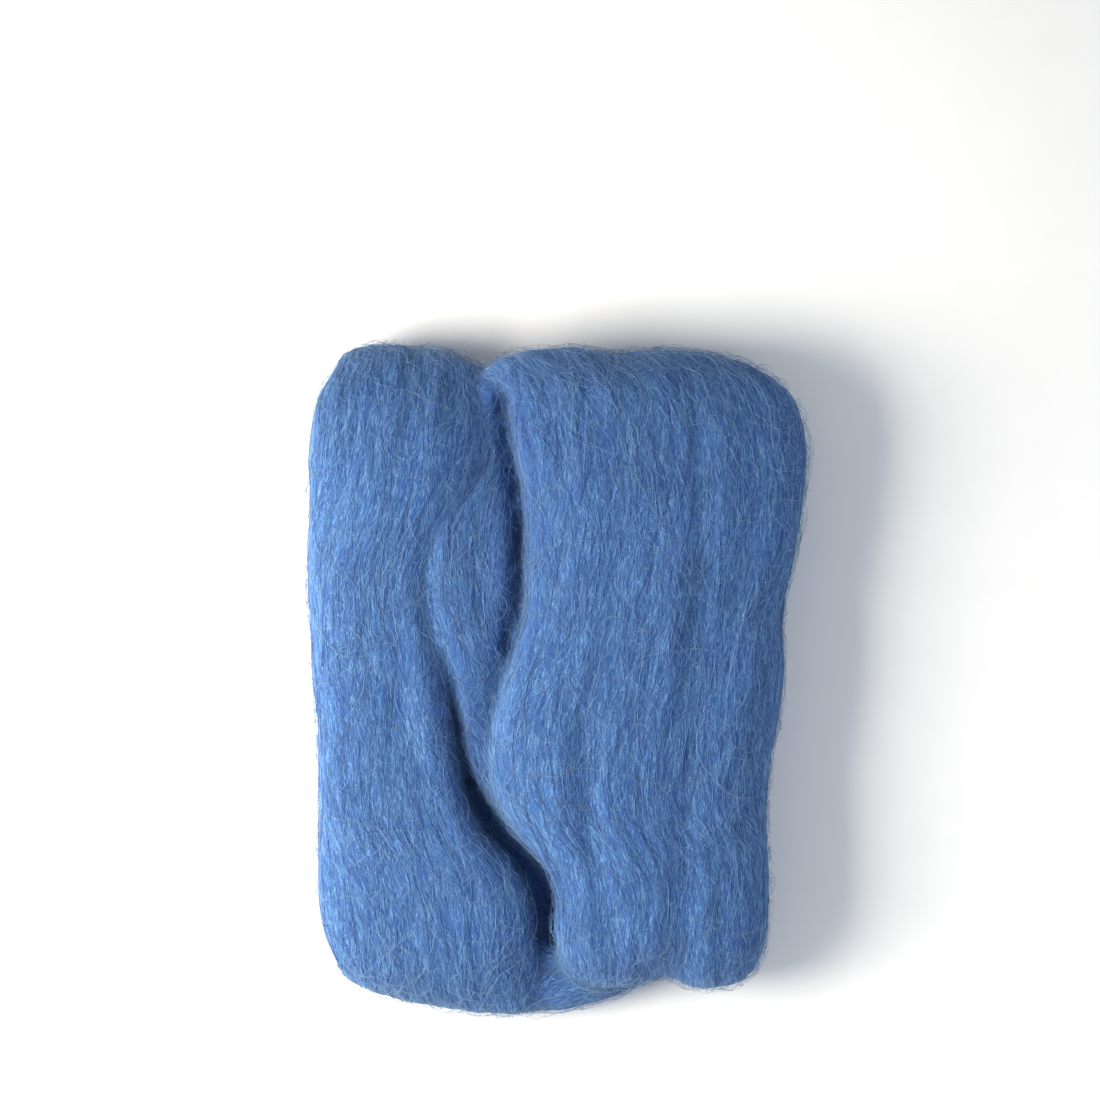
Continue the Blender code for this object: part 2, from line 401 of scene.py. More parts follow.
def smooth_rows(rows, step):
    """Rows at even steps on a smooth curve through the given rows, which start with x, y and z."""
    chord = np.linalg.norm(np.diff(rows[:, :3], axis=0), axis=1)
    at = np.concatenate([[0.0], np.cumsum(chord)])
    slope = np.gradient(rows, at, axis=0)
    wanted = np.linspace(0.0, at[-1], int(at[-1] / step) + 1)
    k = np.clip(np.searchsorted(at, wanted, side="right") - 1, 0, len(at) - 2)
    gap = (at[k + 1] - at[k])[:, None]
    t = (wanted - at[k])[:, None] / gap
    return (
        (2 * t**3 - 3 * t**2 + 1) * rows[k]
        + (t**3 - 2 * t**2 + t) * gap * slope[k]
        + (3 * t**2 - 2 * t**3) * rows[k + 1]
        + (t**3 - t**2) * gap * slope[k + 1]
    )


def route_rows():
    """The route in metres, a row for each section: x, y, z, width, thickness, way across, fullness."""
    rows = []
    for s in ROUTE:
        turn, tip = np.radians(s.turn), np.radians(s.tip)
        across = (np.cos(tip) * np.cos(turn), np.cos(tip) * np.sin(turn), -np.sin(tip))
        sizes = [size * MM for size in (s.x, s.y, s.z, s.width, s.thick)]
        rows.append([*sizes, *across, s.full])
    return np.array(rows)


def locks(across, along, side):
    """How far the wool stands up at a point, in metres: soft locks that run along the sliver."""
    place = Vector((across / LOCK_WIDTH, along / LOCK_LENGTH, FRONT_TO_BACK_CHANGE * side))
    return LOCK_DEPTH * noise.noise(place)


def sliver_rings():
    """Rings of points round the sliver. Each ring starts in the middle of its inner side."""
    rows = smooth_rows(route_rows(), STEP_ALONG)
    middle, width, thick, across = rows[:, :3], rows[:, 3], rows[:, 4], unit(rows[:, 5:8])
    along = unit(np.gradient(middle, axis=0))
    outward = unit(np.cross(along, across))
    travelled = STEP_ALONG * np.arange(len(rows))
    angle = np.linspace(-np.pi / 2, 1.5 * np.pi, POINTS_ROUND, endpoint=False)
    rings = []
    for i, start in enumerate(middle):
        power = 2 / rows[i, 8]
        wide = np.sign(np.cos(angle)) * np.abs(np.cos(angle)) ** power
        high = np.sign(np.sin(angle)) * np.abs(np.sin(angle)) ** power
        u = wide * width[i] / 2
        v = high * thick[i] / 2
        v += [h * locks(x, travelled[i], np.sign(h)) for x, h in zip(u, high)]
        rings.append(start + np.outer(u, across[i]) + np.outer(v, outward[i]))
    return np.array(rings)


def distance_to_line(places, line):
    """How far each place (x, y) is from a line of points."""
    nearest = np.full(len(places), np.inf)
    for a, b in zip(line[:-1], line[1:]):
        t = np.clip((places - a) @ (b - a) / ((b - a) @ (b - a)), 0.0, 1.0)
        nearest = np.minimum(nearest, np.linalg.norm(places - a - t[:, None] * (b - a), axis=1))
    return nearest


def press(points):
    """Presses the creases into the front of the hank, and the dents into its outline."""
    front = ease((points[:, 2] / MM - CREASED_FROM_Z) / (CREASED_FULLY_Z - CREASED_FROM_Z))
    drop = np.zeros(len(points))
    for crease in CREASES:
        away = distance_to_line(points[:, :2], np.array(crease.points) * MM)
        drop += crease.depth * MM * np.exp(-((away / (crease.width * MM)) ** 2))
    points[:, 2] -= drop * front
    for dent in DENTS:
        away = np.linalg.norm(points[:, :2] - np.array([dent.x, dent.y]) * MM, axis=1)
        share = np.exp(-((away / (dent.radius * MM)) ** 2))[:, None]
        points[:, :2] += share * np.array([dent.push_x, dent.push_y]) * MM
    return points


def keep_numbers(mesh, name, kind, values):
    """Stores a number or a direction for each point of a mesh."""
    layer = mesh.attributes.new(name, kind, "POINT")
    part = "vector" if kind == "FLOAT_VECTOR" else "value"
    layer.data.foreach_set(part, np.ravel(values).astype(np.float32))


def plies():
    """The whole sliver as one closed tube in separate plies, which knows its own grain.

    Each point knows how far it is round the sliver and along it, the direction of its fibres,
    and how near it is to a crack: 1 in it, and 0 well away from it. By a crack the fuzz grows
    thicker, and the wool's colour is darkened as painted shade.
    """
    rings = sliver_rings()
    count = len(rings)
    rings = press(rings.reshape(-1, 3)).reshape(count, POINTS_ROUND, 3)
    steps_round = np.linalg.norm(np.diff(rings, axis=1), axis=2)
    across = np.concatenate([np.zeros((count, 1)), np.cumsum(steps_round, axis=1)], axis=1)
    across -= across[:, POINTS_ROUND // 2, None]
    along = np.repeat(STEP_ALONG * np.arange(count), POINTS_ROUND)
    grain = unit(np.gradient(rings, axis=0))
    cracks = [np.array(crease.points) * MM for crease in CREASES if crease.depth > CRACK_DEPTH]
    away = np.min([distance_to_line(rings.reshape(-1, 3)[:, :2], line) for line in cracks], axis=0)
    last = (count - 1) * POINTS_ROUND
    faces = []
    for near in range(0, last, POINTS_ROUND):
        far = near + POINTS_ROUND
        for j in range(POINTS_ROUND):
            k = (j + 1) % POINTS_ROUND
            faces.append((near + j, far + j, far + k, near + k))
    faces.append(tuple(range(POINTS_ROUND)))
    faces.append(tuple(reversed(range(last, last + POINTS_ROUND))))
    mesh = bpy.data.meshes.new("plies")
    mesh.from_pydata(rings.reshape(-1, 3).tolist(), [], faces)
    keep_numbers(mesh, "across", "FLOAT", across)
    keep_numbers(mesh, "along", "FLOAT", along)
    keep_numbers(mesh, "grain", "FLOAT_VECTOR", grain)
    keep_numbers(mesh, "by a crack", "FLOAT", np.exp(-((away / (CRACK_EDGE * MM)) ** 2)))
    return shown(bpy.data.objects.new("plies", mesh))


def shown(piece):
    bpy.context.scene.collection.objects.link(piece)
    return piece


def plain_copy(piece, name):
    """The piece as it is evaluated, as a plain mesh object. The piece itself stays."""
    view = bpy.context.evaluated_depsgraph_get()
    mesh = bpy.data.meshes.new_from_object(piece.evaluated_get(view))
    mesh.name = name
    return shown(bpy.data.objects.new(name, mesh))


def put_away(*pieces):
    for piece in pieces:
        mesh = piece.data
        bpy.data.objects.remove(piece)
        bpy.data.meshes.remove(mesh)


# ---------------------------------------------------------------- node trees


class Wiring:
    """A node tree in the making."""

    def __init__(self, tree):
        self.tree = tree

    def feed(self, socket, value):
        if isinstance(value, bpy.types.NodeSocket):
            self.tree.links.new(value, socket)
        else:
            socket.default_value = value

    def add(self, kind, inputs=None, **settings):
        """A node with its settings, its inputs fed by name or number."""
        node = self.tree.nodes.new(kind)
        for name, value in settings.items():
            setattr(node, name, value)
        live = [socket for socket in node.inputs if socket.enabled]
        for name, value in (inputs or {}).items():
            socket = live[name] if isinstance(name, int) else next(s for s in live if s.name == name)
            self.feed(socket, value)
        return node

    def out(self, kind, inputs=None, **settings):
        """The first live output of a new node."""
        node = self.add(kind, inputs, **settings)
        return next(socket for socket in node.outputs if socket.enabled)

    def math(self, operation, *values):
        return self.out("ShaderNodeMath", dict(enumerate(values)), operation=operation)

    def plus(self, a, b):
        return self.math("ADD", a, b)

    def minus(self, a, b):
        return self.math("SUBTRACT", a, b)

    def times(self, a, b):
        return self.math("MULTIPLY", a, b)

    def divided(self, a, b):
        return self.math("DIVIDE", a, b)

    def vector(self, operation, *values):
        """A sum on vectors. A length or a dot product comes out as a number."""
        return self.out("ShaderNodeVectorMath", dict(enumerate(values)), operation=operation)

    def scaled(self, vector, factor):
        return self.vector("SCALE", vector, factor)

    def turned(self, vector, axis, angle):
        return self.out("ShaderNodeVectorRotate", {"Vector": vector, "Axis": axis, "Angle": angle})

    def parts(self, vector):
        return self.add("ShaderNodeSeparateXYZ", {0: vector}).outputs

    def point(self, x, y, z=0.0):
        return self.out("ShaderNodeCombineXYZ", {0: x, 1: y, 2: z})

    def eased(self, value, low, high, at_low=0.0, at_high=1.0):
        """at_low up to low, at_high from high on, and a smooth step between."""
        limits = {0: value, 1: low, 2: high, 3: at_low, 4: at_high}
        return self.out("ShaderNodeMapRange", limits, interpolation_type="SMOOTHSTEP")

    def clouds(self, place, detail=2.0, roughness=0.5):
        """Soft noise from 0 to 1, with features about 1 across."""
        inputs = {"Vector": place, "Scale": 1.0, "Detail": detail, "Roughness": roughness}
        return self.out("ShaderNodeTexNoise", inputs)

    def swing(self, value, size):
        """A value from 0 to 1 made one from -size to size."""
        return self.times(self.minus(value, 0.5), self.times(size, 2.0))


class Grower(Wiring):
    """A Geometry Nodes tree with named inputs."""

    def __init__(self, name, inputs):
        super().__init__(bpy.data.node_groups.new(name, "GeometryNodeTree"))
        side = self.tree.interface
        side.new_socket("Geometry", in_out="INPUT", socket_type="NodeSocketGeometry")
        self.identifiers = {}
        for label, kind in inputs.items():
            socket = side.new_socket(label, in_out="INPUT", socket_type=f"NodeSocket{kind}")
            self.identifiers[label] = socket.identifier
        side.new_socket("Geometry", in_out="OUTPUT", socket_type="NodeSocketGeometry")
        self.given = self.tree.nodes.new("NodeGroupInput").outputs

    def attribute(self, name, kind="FLOAT"):
        return self.out("GeometryNodeInputNamedAttribute", {"Name": name}, data_type=kind)

    def sampled(self, surface, value, kind, place):
        """What a surface says at its point nearest to a place."""
        inputs = {"Mesh": surface, "Value": value, "Sample Position": place}
        return self.out("GeometryNodeSampleNearestSurface", inputs, data_type=kind)

    def random(self, low, high, seed):
        inputs = {"Min": low, "Max": high, "Seed": seed}
        return self.out("FunctionNodeRandomValue", inputs, data_type="FLOAT")

    def kept(self, geometry, name, value, kind="FLOAT", domain="POINT"):
        inputs = {"Geometry": geometry, "Name": name, "Value": value}
        return self.out("GeometryNodeStoreNamedAttribute", inputs, data_type=kind, domain=domain)

    def caught(self, geometry, kinds, *values):
        """Values caught as they are now, before the geometry changes: the geometry, then each value."""
        node = self.add("GeometryNodeCaptureAttribute", {"Geometry": geometry}, domain="POINT")
        for number, (kind, value) in enumerate(zip(kinds, values), 1):
            node.capture_items.new(kind, f"value {number}")
            self.feed(node.inputs[number], value)
        return [node.outputs[i] for i in range(len(values) + 1)]

    def end(self, geometry, finish):
        """The tree's end: no instances left, and the finish on."""
        whole = self.out("GeometryNodeRealizeInstances", {"Geometry": geometry})
        dressed = self.out("GeometryNodeSetMaterial", {"Geometry": whole, "Material": finish})
        last = self.tree.nodes.new("NodeGroupOutput")
        self.tree.links.new(dressed, last.inputs[0])
        return self

    def grow(self, piece, name, **values):
        """What the tree makes of a piece, as a plain mesh. The piece stays as it was."""
        worn = piece.modifiers.new(self.tree.name, "NODES")
        worn.node_group = self.tree
        for label, value in values.items():
            worn[self.identifiers[label.replace("_", " ").capitalize()]] = value
        grown = plain_copy(piece, name)
        piece.modifiers.remove(worn)
        return grown


def combing_tree():
    """Marks the body with locks along the sliver, and tells each point its grain and its cover.

    The cover is how thickly fibres grow: none where the wool lies on the surface under it,
    few on the back and deep between two plies. Fuzz grows thicker round the edges and by a crack.
    """
    t = Grower(
        "combing",
        {
            "Plies": "Object",
            "Lock width": "Float",
            "Lock length": "Float",
            "Lock depth": "Float",
            "Back cover": "Float",
            "Hidden cover": "Float",
            "Edge fuzz": "Float",
            "Finish": "Material",
        },
    )
    plies = t.add("GeometryNodeObjectInfo", {"Object": t.given["Plies"]}).outputs["Geometry"]
    place = t.out("GeometryNodeInputPosition")
    up = t.out("GeometryNodeInputNormal")
    body = t.given["Geometry"]
    for name in ("across", "along", "by a crack"):
        body = t.kept(body, name, t.sampled(plies, t.attribute(name), "FLOAT", place))
    grain = t.sampled(plies, t.attribute("grain", "FLOAT_VECTOR"), "FLOAT_VECTOR", place)
    body = t.kept(body, "grain", grain, "FLOAT_VECTOR")

    across, along = t.attribute("across"), t.attribute("along")
    wide = t.divided(across, t.given["Lock width"])
    long = t.divided(along, t.given["Lock length"])
    relief = t.swing(t.clouds(t.point(wide, long), detail=3.0, roughness=0.6), t.given["Lock depth"])
    body = t.out("GeometryNodeSetPosition", {"Geometry": body, "Offset": t.scaled(up, relief)})
    x, y, z = t.parts(place)
    on_surface = t.point(x, y, t.math("MAXIMUM", z, 0.0))
    body = t.out("GeometryNodeSetPosition", {"Geometry": body, "Position": on_surface})
    body = t.kept(body, "up", up, "FLOAT_VECTOR")

    facing = t.parts(up)[2]
    cover = t.eased(facing, *BACK_FACING, t.given["Back cover"], 1.0)
    low = t.math("LESS_THAN", z, LYING_HEIGHT)
    lying = t.times(low, t.math("LESS_THAN", facing, LYING_FACING))
    cover = t.times(cover, t.minus(1.0, lying))
    lookout = t.vector("ADD", place, t.scaled(up, LOOKOUT_HEIGHT))
    ray = {
        "Target Geometry": body,
        "Source Position": lookout,
        "Ray Direction": up,
        "Ray Length": LOOKOUT_REACH,
    }
    hidden = t.out("GeometryNodeRaycast", ray)
    shut = t.minus(1.0, t.given["Hidden cover"])
    cover = t.times(cover, t.minus(1.0, t.times(hidden, shut)))
    body = t.kept(body, "cover", cover)
    fold = t.eased(t.math("ABSOLUTE", y), FOLD_FROM_Y, FOLD_TO_Y)
    flank = t.eased(t.math("ABSOLUTE", facing), *EDGE_FACING, 1.0, 0.0)
    edge = t.math("MAXIMUM", t.math("MAXIMUM", fold, flank), t.attribute("by a crack"))
    thicker = t.plus(1.0, t.times(edge, t.minus(t.given["Edge fuzz"], 1.0)))
    body = t.kept(body, "fuzz cover", t.times(cover, thicker))
    body = t.out("GeometryNodeSetShadeSmooth", {"Geometry": body, "Shade Smooth": True})
    return t.end(body, t.given["Finish"])


def fibre_tree():
    """Wool fibres that grow over the body, each from its root and a step at a time.

    Cover names the attribute that says where fibres grow. A fibre sets out along the grain,
    turned aside by up to Stray and tilted up by up to Rise. At every step it turns towards the
    grain of the body below it, as strongly as Follow says, and bends by up to Curl. Height is how
    far it arches over the body, Hug how well it keeps down as it goes, Crimp its waviness, and
    Lowest the least height above the surface that the hank lies on.
    """
    t = Grower(
        "fibres",
        {
            "Fibres per m2": "Float",
            "Cover": "String",
            "Steps": "Int",
            "Step": "Float",
            "Cuts": "Int",
            "Thickness": "Float",
            "Height": "Float",
            "Rise": "Float",
            "Stray": "Float",
            "Follow": "Float",
            "Hug": "Float",
            "Curl": "Float",
            "Crimp": "Float",
            "Crimp length": "Float",
            "Lowest": "Float",
            "Seed": "Int",
            "Finish": "Material",
        },
    )
    body, given = t.given["Geometry"], t.given

    def seed(extra):
        return t.plus(given["Seed"], extra)

    # The roots: each has its number, the way it sets out, and its own habits.
    density = t.times(given["Fibres per m2"], t.attribute(given["Cover"]))
    scattered = {"Mesh": body, "Density": density, "Seed": given["Seed"]}
    roots = t.out("GeometryNodeDistributePointsOnFaces", scattered)
    count = t.out("GeometryNodeAttributeDomainSize", {"Geometry": roots}, component="POINTCLOUD")
    roots = t.kept(roots, "number", t.out("GeometryNodeInputIndex"), "INT")
    roots = t.kept(roots, "step", 0, "INT")
    roots = t.kept(roots, "stray", t.swing(t.random(0.0, 1.0, seed(1)), given["Stray"]))
    roots = t.kept(roots, "curl", t.swing(t.random(0.0, 1.0, seed(2)), given["Curl"]))
    roots = t.kept(roots, "reach", t.times(given["Step"], t.random(*REACH_SHARES, seed(3))))
    up = t.attribute("up", "FLOAT_VECTOR")
    way = t.math("SIGN", t.random(-1.0, 1.0, seed(4)))
    heading = t.scaled(t.attribute("grain", "FLOAT_VECTOR"), way)
    heading = t.turned(heading, up, t.attribute("stray"))
    rise = t.times(given["Rise"], t.random(0.0, 1.0, seed(5)))
    heading = t.vector("NORMALIZE", t.vector("ADD", heading, t.scaled(up, rise)))
    roots = t.kept(roots, "heading", heading, "FLOAT_VECTOR")

    # One step of every fibre, repeated. The tips move on, and what they pass is kept.
    loop = t.add("GeometryNodeRepeatInput")
    loop_end = t.add("GeometryNodeRepeatOutput")
    loop.pair_with_output(loop_end)
    loop_end.repeat_items.clear()
    loop_end.repeat_items.new("GEOMETRY", "Tips")
    loop_end.repeat_items.new("GEOMETRY", "Grown")
    t.feed(loop.inputs["Iterations"], given["Steps"])
    t.feed(loop.inputs["Tips"], roots)
    t.feed(loop.inputs["Grown"], roots)

    position = t.out("GeometryNodeInputPosition")
    heading = t.attribute("heading", "FLOAT_VECTOR")
    ahead = t.vector("ADD", position, t.scaled(heading, t.attribute("reach")))
    below = t.sampled(body, position, "FLOAT_VECTOR", ahead)
    lifted = t.vector("NORMALIZE", t.sampled(body, up, "FLOAT_VECTOR", ahead))
    grain = t.sampled(body, t.attribute("grain", "FLOAT_VECTOR"), "FLOAT_VECTOR", ahead)
    grain = t.vector("NORMALIZE", grain)
    clear = t.math("MAXIMUM", t.vector("DOT_PRODUCT", t.vector("SUBTRACT", ahead, below), lifted), 0.0)
    clear = t.times(clear, t.minus(1.0, given["Hug"]))
    place = t.vector("ADD", below, t.scaled(lifted, clear))

    grain = t.scaled(grain, t.math("SIGN", t.vector("DOT_PRODUCT", grain, heading)))
    grain = t.turned(grain, lifted, t.attribute("stray"))
    follow = given["Follow"]
    ahead_way = t.vector(
        "ADD",
        t.scaled(heading, t.minus(1.0, follow)),
        t.scaled(grain, follow),
    )
    climb = t.times(t.vector("DOT_PRODUCT", ahead_way, lifted), given["Hug"])
    ahead_way = t.vector("SUBTRACT", ahead_way, t.scaled(lifted, climb))
    step = loop.outputs["Iteration"]
    wander = t.point(
        t.times(t.attribute("number"), WANDER_BY_FIBRE),
        t.times(step, WANDER_BY_STEP),
        given["Seed"],
    )
    bend = t.plus(t.attribute("curl"), t.swing(t.clouds(wander, detail=1.0), given["Curl"]))
    ahead_way = t.vector("NORMALIZE", t.turned(ahead_way, lifted, bend))

    caught = t.caught(loop.outputs["Tips"], ("VECTOR",) * 3, place, ahead_way, lifted)
    tips, place, ahead_way, lifted = caught
    tips = t.out("GeometryNodeSetPosition", {"Geometry": tips, "Position": place})
    tips = t.kept(tips, "heading", ahead_way, "FLOAT_VECTOR")
    tips = t.kept(tips, "up", lifted, "FLOAT_VECTOR")
    tips = t.kept(tips, "step", t.plus(step, 1.0), "INT")
    joined = t.add("GeometryNodeJoinGeometry")
    t.feed(joined.inputs[0], loop.outputs["Grown"])
    t.feed(joined.inputs[0], tips)
    t.feed(loop_end.inputs["Tips"], tips)
    t.feed(loop_end.inputs["Grown"], joined.outputs[0])

    # The fibres as curves: arched, crimped, and clear of the surface that the hank lies on.
    strung = {
        "Points": loop_end.outputs["Grown"],
        "Curve Group ID": t.attribute("number", "INT"),
        "Weight": t.attribute("step"),
    }
    fibres = t.out("GeometryNodePointsToCurves", strung)
    fibres = t.out("GeometryNodeSubdivideCurve", {"Curve": fibres, "Cuts": given["Cuts"]})
    spline = t.add("GeometryNodeSplineParameter").outputs
    fibres = t.kept(fibres, "share", spline["Factor"])
    number = t.attribute("number")

    def habit(offset, low, high):
        """A number that belongs to the whole fibre, between low and high."""
        inputs = {"Min": low, "Max": high, "ID": t.attribute("number", "INT"), "Seed": seed(offset)}
        return t.out("FunctionNodeRandomValue", inputs, data_type="FLOAT")

    share = t.attribute("share")
    arch = t.math("SINE", t.times(share, math.pi))
    lift = t.times(arch, t.times(given["Height"], habit(11, *ARCH_SHARES)))
    lift = t.minus(lift, t.times(t.minus(1.0, arch), ENDS_SUNK))
    wave = t.times(given["Crimp length"], habit(12, *CRIMP_LENGTH_SHARES))
    turns = t.divided(spline["Length"], wave)
    phase = t.plus(t.times(turns, 2 * math.pi), habit(13, 0.0, 2 * math.pi))
    size = t.times(given["Crimp"], habit(14, *CRIMP_SHARES))
    up = t.attribute("up", "FLOAT_VECTOR")
    aside = t.vector("CROSS_PRODUCT", up, t.attribute("heading", "FLOAT_VECTOR"))
    upwards = t.times(t.math("COSINE", phase), t.times(size, CRIMP_UPWARDS))
    offset = t.vector(
        "ADD",
        t.scaled(up, t.plus(lift, upwards)),
        t.scaled(aside, t.times(t.math("SINE", phase), size)),
    )
    fibres = t.out("GeometryNodeSetPosition", {"Geometry": fibres, "Offset": offset})
    x, y, z = t.parts(t.out("GeometryNodeInputPosition"))
    above = t.point(x, y, t.math("MAXIMUM", z, given["Lowest"]))
    fibres = t.out("GeometryNodeSetPosition", {"Geometry": fibres, "Position": above})

    # Three-sided and closed, thinner at the ends.
    # Each fibre's own random tone, darkened by a crack: painted shade.
    painted_crack_shade = t.minus(1.0, t.times(t.attribute("by a crack"), CRACK_SHADE))
    fibres = t.kept(fibres, "tone", t.times(habit(15, 0.0, 1.0), painted_crack_shade))
    rounded = t.math("POWER", t.math("MAXIMUM", arch, 0.0), 0.5)
    taper = t.plus(TIP_THICKNESS, t.times(rounded, 1.0 - TIP_THICKNESS))
    thick = t.times(given["Thickness"], habit(16, *THICKNESS_SHARES))
    profile = t.out("GeometryNodeCurvePrimitiveCircle", {"Resolution": FIBRE_SIDES, "Radius": 1.0})
    scale = t.times(thick, taper)
    swept = {"Curve": fibres, "Profile Curve": profile, "Scale": scale, "Fill Caps": True}
    fibres = t.out("GeometryNodeCurveToMesh", swept)

    # Each fibre has a cell of its own in the texture map OFBake.
    side = t.math("FLOOR", t.math("MODULO", t.out("GeometryNodeInputIndex"), FIBRE_SIDES))
    fibres = t.kept(fibres, "side", side)
    cells = t.math("CEIL", t.math("SQRT", count))
    column = t.math("MODULO", number, cells)
    line = t.math("FLOOR", t.divided(t.plus(number, 0.5), cells))
    inner = 1.0 - 2 * CELL_MARGIN
    u = t.plus(t.plus(column, CELL_MARGIN), t.times(share, inner))
    round_share = t.divided(t.attribute("side"), FIBRE_SIDES - 1.0)
    v = t.plus(t.plus(line, CELL_MARGIN), t.times(round_share, inner))
    cell = t.point(t.divided(u, cells), t.divided(v, cells))
    fibres = t.kept(fibres, "OFBake", cell, "FLOAT2", "CORNER")
    for name in USED_UP:
        fibres = t.out("GeometryNodeRemoveAttribute", {"Geometry": fibres, "Name": name})
    fibres = t.out("GeometryNodeSetShadeSmooth", {"Geometry": fibres, "Shade Smooth": True})
    return t.end(fibres, given["Finish"])


# ---------------------------------------------------------------- finishes


class Finish(Wiring):
    """A material with its shader, whose constants are set by name."""

    def __init__(self, name, constants):
        self.material = bpy.data.materials.new(name)
        self.material.use_nodes = True
        super().__init__(self.material.node_tree)
        self.shader = self.tree.nodes["Principled BSDF"]
        for label, value in constants.items():
            self.shader.inputs[label].default_value = value

    def attribute(self, name):
        return self.add("ShaderNodeAttribute", attribute_name=name).outputs["Fac"]

    def blended(self, factor, *colours):
        """Colours spread evenly from factor 0 to factor 1."""
        ramp = self.add("ShaderNodeValToRGB", {"Fac": factor})
        stops = ramp.color_ramp.elements
        stops[0].position, stops[-1].position = 0.0, 1.0
        for number in range(1, len(colours) - 1):
            stops.new(number / (len(colours) - 1))
        for stop, colour in zip(stops, colours):
            stop.color = colour
        return ramp.outputs["Color"]

    def bumped(self, height, distance):
        inputs = {"Height": height, "Distance": distance, "Strength": 1.0}
        self.feed(self.shader.inputs["Normal"], self.out("ShaderNodeBump", inputs))


def streaks(finish, across, along, width, length, shift, detail=3.0):
    """Noise that runs in streaks along the sliver, a width wide and a length long, all in metres."""
    place = finish.point(
        finish.divided(across, width),
        finish.divided(along, length),
        shift,
    )
    return finish.clouds(place, detail=detail, roughness=0.6)


def drawn_fibres(finish, across, along, spread, length, slant, shift):
    """Thin light lines from 0 to 1, like fibres that lie about a spread apart and along the sliver."""
    slanted = finish.plus(across, finish.times(along, slant))
    hills = streaks(finish, slanted, along, spread, length, shift, detail=1.0)
    from_line = finish.math("ABSOLUTE", finish.minus(hills, LINE_LEVEL))
    return finish.eased(from_line, 0.0, LINE_SOFTNESS, 1.0, 0.0)


def combed_wool():
    """The body's wool: a tangle of fine crimped fibres that run along the sliver."""
    wool = Finish("combed wool", BODY_SHINE)
    across, along = wool.attribute("across"), wool.attribute("along")
    phase = streaks(wool, across, along, *CRIMP_PHASE_STREAK, 3.0)
    turns = wool.plus(wool.divided(along, CRIMP_LENGTH), wool.times(phase, 3.0))
    wave = wool.times(wool.math("SINE", wool.times(turns, 2 * math.pi)), CRIMP)
    waved = wool.plus(across, wave)
    tangle = 0.0
    for slant, shift in ((0.0, 0.0), (0.17, 11.0), (-0.2, 23.0)):
        lines = drawn_fibres(wool, waved, along, *LINE_STREAK, slant, shift)
        tangle = wool.math("MAXIMUM", tangle, lines)
    layers = (
        (0.35, tangle),
        (0.35, streaks(wool, waved, along, *FINE_STREAK, 5.0)),
        (0.30, streaks(wool, waved, along, *BROAD_STREAK, 7.0)),
    )
    tone = 0.0
    for weight, layer in layers:
        tone = wool.plus(tone, wool.times(layer, weight))
    # By a crack the colour is darkened: painted shade.
    painted_crack_shade = wool.minus(1.0, wool.times(wool.attribute("by a crack"), CRACK_SHADE))
    light = wool.times(wool.eased(tone, DEEPEST_TONE, PALEST_TONE), painted_crack_shade)
    colour = wool.blended(light, DEEP_BLUE, MID_BLUE, PALE_BLUE)
    wool.feed(wool.shader.inputs["Base Color"], colour)
    wool.bumped(tone, TONE_RELIEF)
    return wool.material


def single_fibres(name, *colours):
    """The wool of single fibres: each has a tone of its own, darkened by a crack as painted
    shade, with a faint change along it.
    """
    wool = Finish(name, FIBRE_SHINE)
    place = wool.scaled(wool.add("ShaderNodeTexCoord").outputs["Object"], 1 / OWN_TONE_CHANGE)
    own = wool.times(wool.attribute("tone"), OWN_TONE_SHARE)
    tone = wool.plus(own, wool.times(wool.clouds(place), 1.0 - OWN_TONE_SHARE))
    wool.feed(wool.shader.inputs["Base Color"], wool.blended(tone, *colours))
    return wool.material


# ---------------------------------------------------------------- the pieces


def pressed_body(sliver):
    """The sliver's plies pressed together into one body, which lies flat on the surface."""
    for swell in (PRESSED_BY, -PRESSED_BY):
        remesh = sliver.modifiers.new("remesh", "REMESH")
        remesh.mode = "VOXEL"
        remesh.voxel_size = VOXEL
        pushed = sliver.modifiers.new("swell", "DISPLACE")
        pushed.mid_level = 0.0
        pushed.strength = swell
    softened = sliver.modifiers.new("soften", "SMOOTH")
    softened.factor = 0.5
    softened.iterations = SOFTENED_TIMES
    body = plain_copy(sliver, "pressed_body")
    sliver.modifiers.clear()
    places = np.empty(3 * len(body.data.vertices), dtype=np.float32)
    body.data.vertices.foreach_get("co", places)
    places[2::3] = np.maximum(places[2::3], 0.0)
    body.data.vertices.foreach_set("co", places)
    body.data.update()
    return body


def dressed(piece):
    """The piece stands for the roving's plain solid, which is hidden, and rides on the root body."""
    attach(piece, "root")
    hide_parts("roving")


def dress_hank():
    sliver = plies()
    pressed = pressed_body(sliver)
    body = combing_tree().grow(
        pressed,
        "wool_body",
        plies=sliver,
        lock_width=2.6 * MM,
        lock_length=38 * MM,
        lock_depth=0.35 * MM,
        back_cover=0.4,
        hidden_cover=0.15,
        edge_fuzz=3.0,
        finish=combed_wool(),
    )
    put_away(sliver, pressed)
    dressed(body)

    fibres = fibre_tree()
    combed = single_fibres("combed fibres", DEEP_BLUE, MID_BLUE, PALE_BLUE)
    for number, seed in enumerate(COMBED_SEEDS, 1):
        name = f"combed_fibres_{number}"
        dressed(fibres.grow(body, name, **COMBED, seed=seed, lowest=LOWEST, finish=combed))
    stray = single_fibres("fuzz", MID_BLUE, GREY_BLUE)
    for name, kind in (("down", DOWN), ("fuzz", FUZZ), ("loose_fibres", LOOSE)):
        dressed(fibres.grow(body, name, **kind, lowest=LOWEST, finish=stray))


# ---------------------------------------------------------------- floor, light and camera


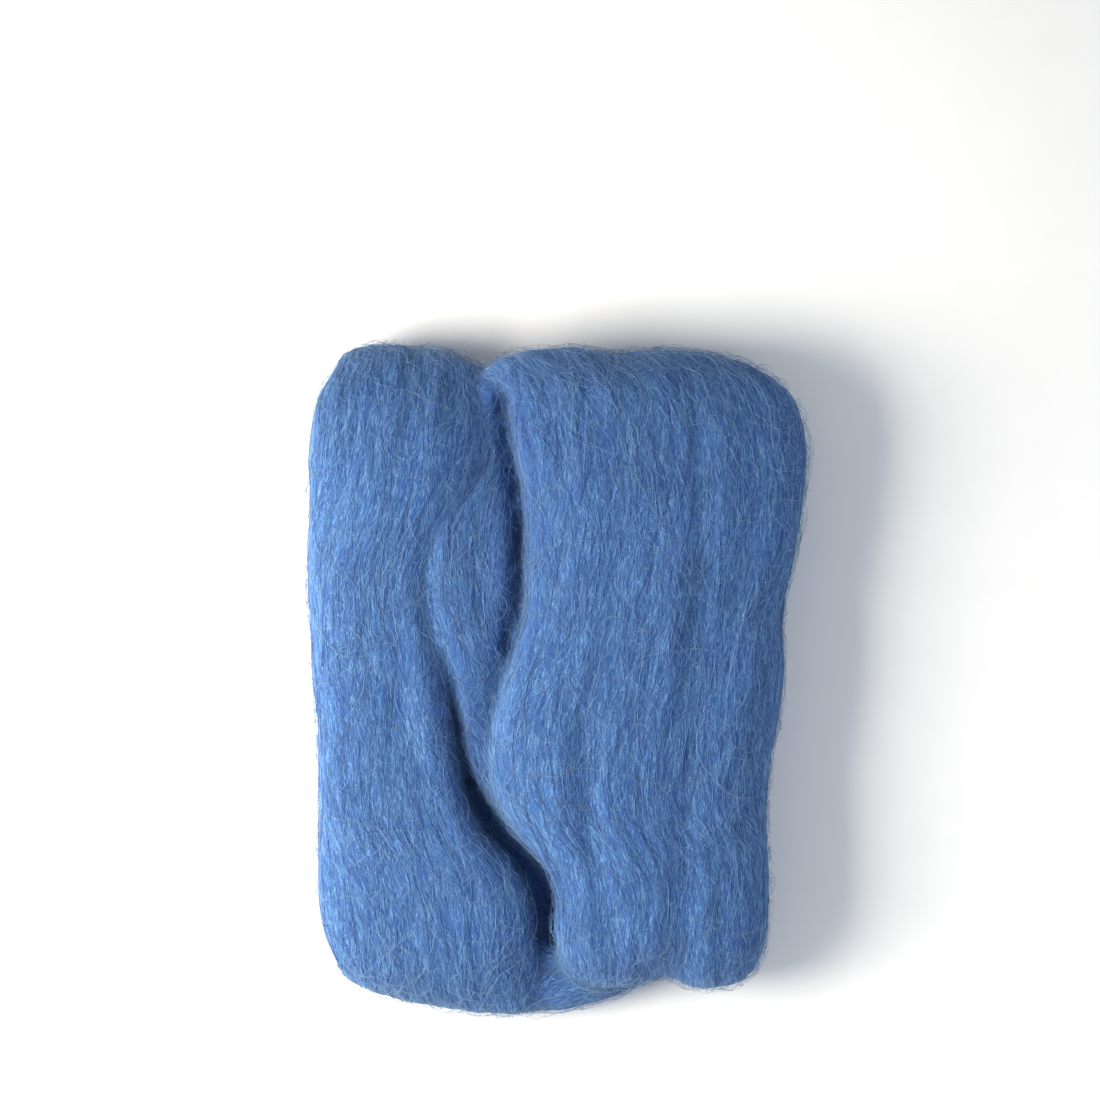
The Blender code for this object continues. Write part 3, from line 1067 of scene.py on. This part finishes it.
def pale_floor():
    mesh = bpy.data.meshes.new("floor")
    corners = [(x * FLOOR_REACH, y * FLOOR_REACH, 0.0) for x, y in ((-1, -1), (1, -1), (1, 1), (-1, 1))]
    mesh.from_pydata(corners, [], [(0, 1, 2, 3)])
    floor = shown(bpy.data.objects.new("floor", mesh))
    pale = Finish("pale floor", {"Roughness": 0.9})
    place = pale.add("ShaderNodeTexCoord").outputs["Object"]
    mottle = pale.clouds(pale.scaled(place, 1 / FLOOR_MOTTLE), detail=4.0)
    pale.feed(pale.shader.inputs["Base Color"], pale.blended(mottle, FLOOR_DARK, FLOOR_PALE))
    mesh.materials.append(pale.material)


def soft_light(name, size, watts, tint, place, target):
    """A square soft light that shines from a place towards a target, and isn't seen itself."""
    lamp = bpy.data.lights.new(name, "AREA")
    lamp.shape = "SQUARE"
    lamp.size = size
    lamp.energy = watts
    lamp.color = tint
    light = shown(bpy.data.objects.new(name, lamp))
    light.visible_camera = False
    light.location = place
    light.rotation_euler = (Vector(place) - Vector(target)).to_track_quat("Z", "Y").to_euler()


def studio():
    scene = bpy.context.scene
    scene.view_settings.view_transform = "Standard"
    world = bpy.data.worlds.new("studio")
    world.use_nodes = True
    sky = world.node_tree.nodes["Background"]
    sky.inputs["Color"].default_value = (*COOL_WHITE, 1.0)
    sky.inputs["Strength"].default_value = SKY_STRENGTH
    scene.world = world
    middle = (0.0, 0.0, VIEW_HEIGHT)
    soft_light("key light", KEY_SIZE, KEY_WATTS, WARM_WHITE, KEY_PLACE, middle)
    soft_light("fill light", FILL_SIZE, FILL_WATTS, COOL_WHITE, FILL_PLACE, middle)


def camera_above():
    """The camera looks straight down, and its frame is as wide as the photo's."""
    lens = bpy.data.cameras.new("camera")
    lens.sensor_width = SENSOR
    lens.lens = SENSOR * (CAMERA_HEIGHT - VIEW_HEIGHT) / FRAME_WIDTH
    camera = shown(bpy.data.objects.new("camera", lens))
    camera.location = (VIEW_X, VIEW_Y, CAMERA_HEIGHT)
    bpy.context.scene.camera = camera


dress_hank()
pale_floor()
studio()
camera_above()
